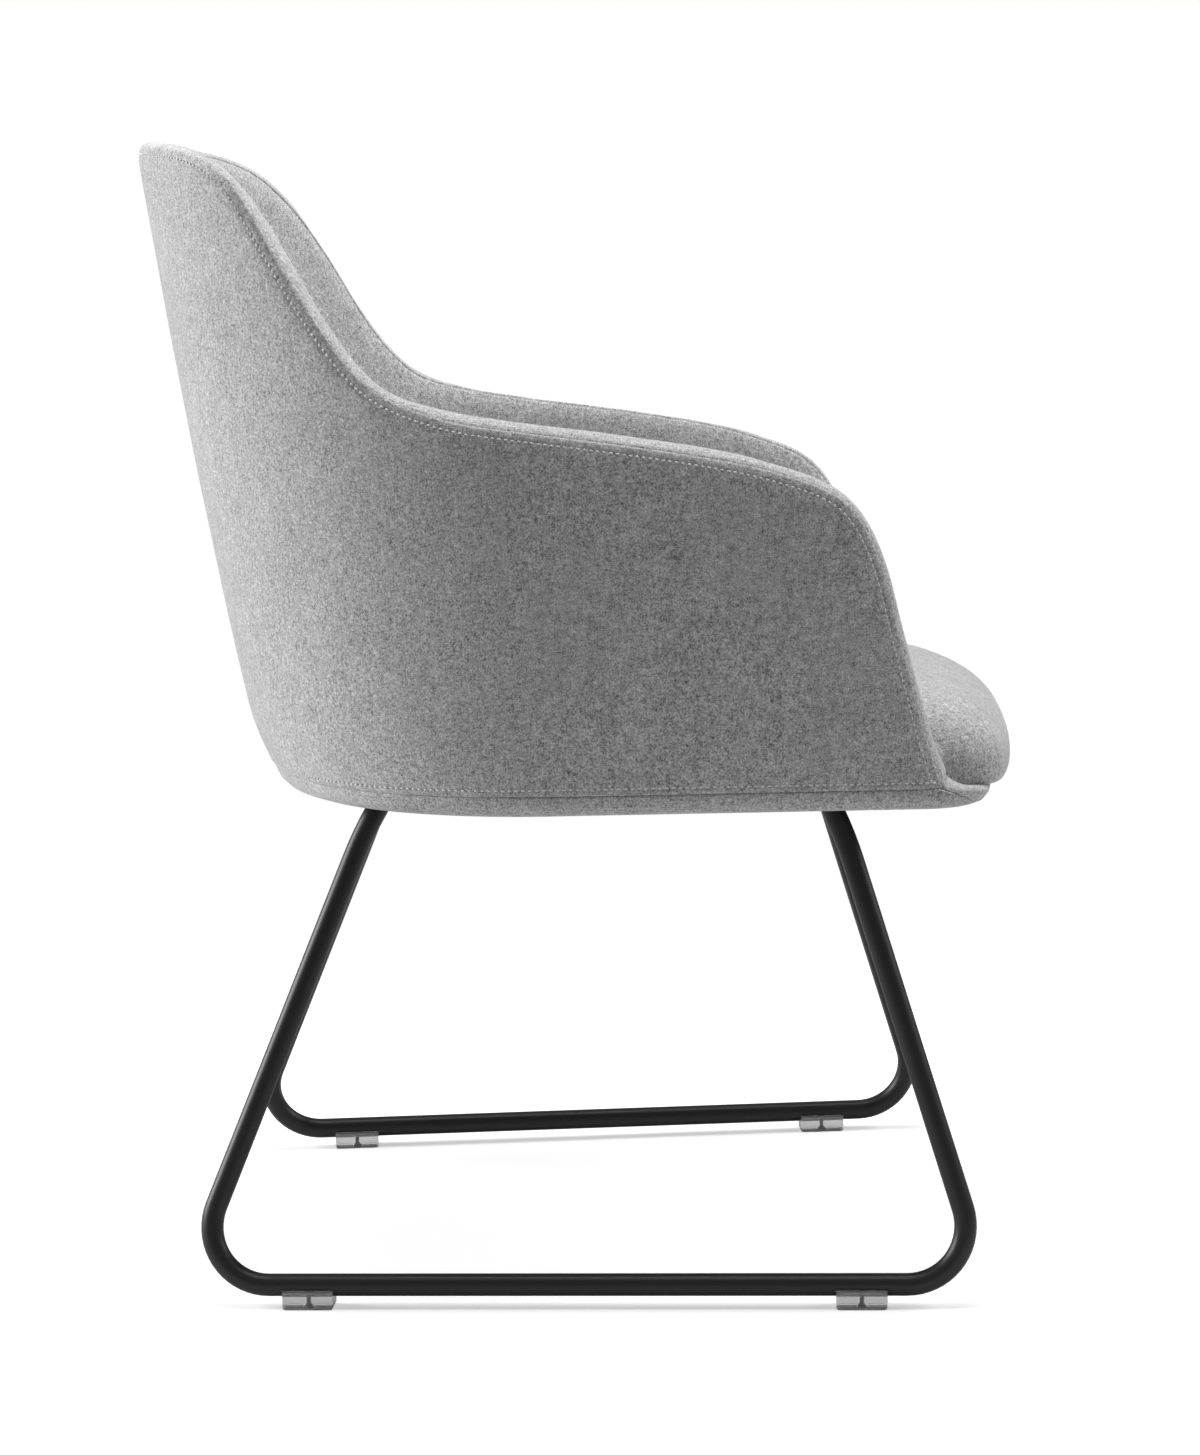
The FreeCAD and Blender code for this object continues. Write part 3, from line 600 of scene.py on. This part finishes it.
def stitch_row(path, pitch, length, thick):
    """Stitches along a path of (point, outward) pairs, every pitch."""
    bm = bmesh.new()
    run = 0.0
    due = 0.0
    for (a, out_a), (b, _) in zip(path, path[1:]):
        step = (b - a).length
        while due < run + step:
            at = a.lerp(b, (due - run) / step)
            along = (b - a).normalized()
            side = along.cross(out_a).normalized()
            up = side.cross(along)
            turn = Matrix((along, side, up)).transposed().to_4x4()
            size = Matrix.Diagonal((length / 2, thick / 2, thick / 2, 1))
            lift = up * thick * 0.2
            bmesh.ops.create_uvsphere(bm, u_segments=6, v_segments=4, radius=1,
                                      matrix=Matrix.Translation(at + lift) @ turn @ size)
            due += pitch
        run += step
    return bm


def beside_seam(seam, away, inset):
    """Path beside a rim seam, on the cover side."""
    path = []
    for before, here, after in zip(seam, seam[1:], seam[2:]):
        slope = (after[1] - before[1]) / max(1e-6, after[0] - before[0])
        steep = math.hypot(1, slope)
        s = here[0] + slope / steep * away
        z = here[1] - away / steep
        if z > SEAM_Z + 0.004:
            path.append(wall_spot(s, z, inset))
    return path


# Pitch, length and thickness of the stitches in a row.
RIM_STITCH = (0.0046, 0.0031, 0.0013)
LEVEL_STITCH = (0.0048, 0.0032, 0.0014)
LEVEL_STEPS = 400
LEVEL_END = RUN_2 + 0.285

sewn = []
bm = stitch_row(beside_seam(outer_seam, 0.0066, 0.0013), *RIM_STITCH)
sewn.append(finish_piece("rim_stitches", bm, "cover_fabric", sideways))
level = []
for k in range(-LEVEL_STEPS, LEVEL_STEPS + 1):
    s = k / LEVEL_STEPS * LEVEL_END
    level.append(wall_spot(s, SEAM_Z + 0.0048, 0.0003))
bm = stitch_row(level, *LEVEL_STITCH)
sewn.append(finish_piece("level_stitches", bm, "cover_fabric", sideways))

# %% [markdown]
# ## Materials
#
# `Wire` is an output of a shader node. Arithmetic on it adds math nodes, and `node` adds
# any other kind.

# %% Shader helpers

class Wire:
    def __init__(self, tree, socket):
        self.tree = tree
        self.socket = socket

    def node(self, kind, inputs, out=0, **settings):
        made = self.tree.nodes.new(kind)
        for key, value in settings.items():
            setattr(made, key, value)
        for key, value in inputs:
            plug(made.inputs[key], value)
        return Wire(self.tree, made.outputs[out])

    def math(self, operation, *others):
        return self.node("ShaderNodeMath", enumerate((self,) + others), operation=operation)

    def __add__(self, other):
        return self.math("ADD", other)

    def __sub__(self, other):
        return self.math("SUBTRACT", other)

    def __mul__(self, other):
        return self.math("MULTIPLY", other)

    def __rsub__(self, other):
        return self * -1 + other

    __radd__ = __add__
    __rmul__ = __mul__


def plug(socket, value):
    if isinstance(value, Wire):
        value.tree.links.new(value.socket, socket)
    else:
        socket.default_value = value


def material(name, **inputs):
    """Clears a material and sets its surface. Returns where it is on the chair, and the setter."""
    mat = bpy.data.materials.get(name) or bpy.data.materials.new(name)
    mat.use_nodes = True
    tree = mat.node_tree
    tree.nodes.clear()
    surface = tree.nodes.new("ShaderNodeBsdfPrincipled")
    output = tree.nodes.new("ShaderNodeOutputMaterial")
    tree.links.new(surface.outputs[0], output.inputs["Surface"])
    place = Wire(tree, tree.nodes.new("ShaderNodeTexCoord").outputs["Object"])

    def set_inputs(**more):
        for key, value in more.items():
            plug(surface.inputs[key.replace("_", " ")], value)

    set_inputs(**inputs)
    return mat, place, set_inputs


def grey(value):
    return (value, value, value, 1)


def speckle(place, scale, detail=2.0, stretch=(1, 1, 1), turn=(0, 0, 0)):
    """Noise about 0 at a scale, in grains per metre."""
    moved = place.node("ShaderNodeMapping", [("Vector", place), ("Rotation", turn), ("Scale", stretch)])
    made = moved.node("ShaderNodeTexNoise", [("Vector", moved), ("Scale", scale), ("Detail", detail)])
    return made - 0.5


def fabric(name, base):
    """Light grey melange: fine flecks, short yarns and faint long streaks."""
    _, place, set_inputs = material(name, Roughness=0.92, Sheen_Weight=0.25, Sheen_Roughness=0.5)
    flecks = speckle(place, 980, 2.0)
    yarns = speckle(place, 460, 2.0, (1, 1, 0.42), (0.0, 0.9, 0.0))
    cross = speckle(place, 460, 2.0, (0.42, 1, 1), (0.0, 0.5, 0.0))
    patches = speckle(place, 60, 3.0, (1, 1, 0.5), (0.0, 0.8, 0.0))
    tone = flecks * 2.7 + yarns * 1.0 + cross * 1.0 + patches * 0.30
    value = (tone + 1) * base
    colour = value.node("ShaderNodeCombineColor", [("Red", value), ("Green", value), ("Blue", value)])
    raised = flecks * 0.6 + yarns * 0.7 + cross * 0.5
    bump = raised.node("ShaderNodeBump", [("Height", raised), ("Strength", 0.35), ("Distance", 0.0006)])
    set_inputs(Base_Color=colour, Normal=bump)


# %% [markdown]
# ## Finishes
#
# The chair has one fabric, one matt powder coat and clear glides. The other slots are
# hidden by them. Each finish takes the name of the slot that the part gives its nodes.

# %% Finishes of all slots
fabric("cover_fabric", 0.47)
_, place, set_coat = material("frame_coat", Base_Color=grey(0.012), Roughness=0.42,
                              Specular_IOR_Level=0.5)
fine = speckle(place, 900, 2.0)
set_coat(Normal=fine.node("ShaderNodeBump", [("Height", fine), ("Strength", 0.12), ("Distance", 0.0003)]))
material("foam", Base_Color=(0.62, 0.60, 0.52, 1), Roughness=0.95)
material("shell_plastic", Base_Color=grey(0.05), Roughness=0.6)
_, place, set_wood = material("plywood", Roughness=0.7)
rings = speckle(place, 14, 4.0, (0.2, 6, 1)) * 0.5 + 0.75
set_wood(Base_Color=rings.node("ShaderNodeCombineColor",
                               [("Red", rings * 0.55), ("Green", rings * 0.40), ("Blue", rings * 0.24)]))
_, place, set_dust = material("dust_cloth", Roughness=0.95)
weave = speckle(place, 700, 2.0) * 0.02 + 0.022
set_dust(Base_Color=weave.node("ShaderNodeCombineColor", [("Red", weave), ("Green", weave), ("Blue", weave)]))
material("zinc", Base_Color=grey(0.55), Metallic=1.0, Roughness=0.38)
material("black_screw", Base_Color=grey(0.03), Metallic=0.6, Roughness=0.35)
material("clear_plastic", Base_Color=grey(0.86), Roughness=0.12, Transmission_Weight=0.9, IOR=1.47)

thread = material("thread", Base_Color=grey(0.8), Roughness=0.7)[0]
for piece in sewn:
    piece.data.materials.clear()
    piece.data.materials.append(thread)

print("materials", sorted(m.name for m in bpy.data.materials))

# %% [markdown]
# ## Room, light and camera
#
# A pale floor and a white room. Soft light comes from behind the back and from the front
# and above, so the near side is the darkest, as in the photograph.

# %% Floor and room
scene = bpy.context.scene
FLOOR_SIZE = 12
FADE = -1.6               # how fast the floor fades out, per metre
FADE_START = 2.4
bpy.ops.mesh.primitive_plane_add(size=FLOOR_SIZE, location=(0, 0, 0))
floor = bpy.context.object
floor.name = "floor"
floor_mat, place, set_floor = material("floor", Roughness=1.0, Specular_IOR_Level=0.0,
                                       Emission_Strength=1.0)
seen = Wire(place.tree, place.tree.nodes.new("ShaderNodeLightPath").outputs["Is Camera Ray"])
from_middle = place.node("ShaderNodeVectorMath", [(0, place)], out=1, operation="LENGTH")
edge = (from_middle * FADE + FADE_START).math("MINIMUM", 1.0).math("MAXIMUM", 0.0)
pale = seen * 0.15 + 0.75
glow = seen * 0.45
floor_colour = pale.node("ShaderNodeCombineColor", [("Red", pale), ("Green", pale), ("Blue", pale)])
floor_glow = glow.node("ShaderNodeCombineColor", [("Red", glow), ("Green", glow), ("Blue", glow)])
set_floor(Base_Color=floor_colour, Emission_Color=floor_glow, Alpha=edge)
floor.data.materials.append(floor_mat)

world = bpy.data.worlds.new("room")
scene.world = world
world.use_nodes = True
tree = world.node_tree
tree.nodes.clear()
rays = Wire(tree, tree.nodes.new("ShaderNodeLightPath").outputs["Is Camera Ray"])
plain = tree.nodes.new("ShaderNodeBackground")
plain.inputs["Color"].default_value = grey(1)
plain.inputs["Strength"].default_value = 0.20
white = tree.nodes.new("ShaderNodeBackground")
white.inputs["Color"].default_value = grey(1)
white.inputs["Strength"].default_value = 1.0
mix = tree.nodes.new("ShaderNodeMixShader")
out = tree.nodes.new("ShaderNodeOutputWorld")
tree.links.new(rays.socket, mix.inputs[0])
tree.links.new(plain.outputs[0], mix.inputs[1])
tree.links.new(white.outputs[0], mix.inputs[2])
tree.links.new(mix.outputs[0], out.inputs[0])

# %% [markdown]
# ## Lights
#
# Three soft panels: a strong one behind the back, one in front and a small one above.

# %% Panel lights

def panel_light(name, spot, target, size, power):
    lamp = bpy.data.lights.new(name, "AREA")
    lamp.size = size
    lamp.energy = power
    made = bpy.data.objects.new(name, lamp)
    scene.collection.objects.link(made)
    made.location = spot
    made.rotation_euler = (Vector(target) - Vector(spot)).to_track_quat("-Z", "Y").to_euler()
    return made


panel_light("rear_light", (-2.6, 0.25, 1.2), (0, 0, 0.5), 1.4, 70)
panel_light("front_light", (2.4, 0.3, 1.9), (0, 0, 0.45), 1.8, 37)
panel_light("top_light", (0.03, 0.0, 2.1), (0, 0, 0.4), 0.9, 23)

# %% [markdown]
# ## Camera
#
# The camera was fitted to the outlines in the photograph. A turn, a tilt and a small roll
# place it, and the focal length is in pixels of a picture 1455 pixels high.

# %% View transform and camera
FOCAL_PIXELS = 3915.13
PICTURE_HEIGHT = 1455
FILM = 36
scene.view_settings.view_transform = "Standard"
scene.render.film_transparent = False

yaw, pitch, roll = -0.007524, 0.118773, 0.02125
ahead = Vector((math.sin(yaw) * math.cos(pitch), math.cos(yaw) * math.cos(pitch), -math.sin(pitch)))
right = Vector((math.cos(yaw), -math.sin(yaw), 0))
down = ahead.cross(right)
x_axis = right * math.cos(roll) + down * math.sin(roll)
y_axis = right * math.sin(roll) - down * math.cos(roll)
lens = bpy.data.cameras.new("camera")
lens.sensor_width = FILM
lens.lens = FOCAL_PIXELS * FILM / PICTURE_HEIGHT
camera = bpy.data.objects.new("camera", lens)
scene.collection.objects.link(camera)
camera.matrix_world = Matrix((x_axis, y_axis, -ahead)).transposed().to_4x4()
camera.location = (0.035713, -2.980108, 0.7370)
scene.camera = camera
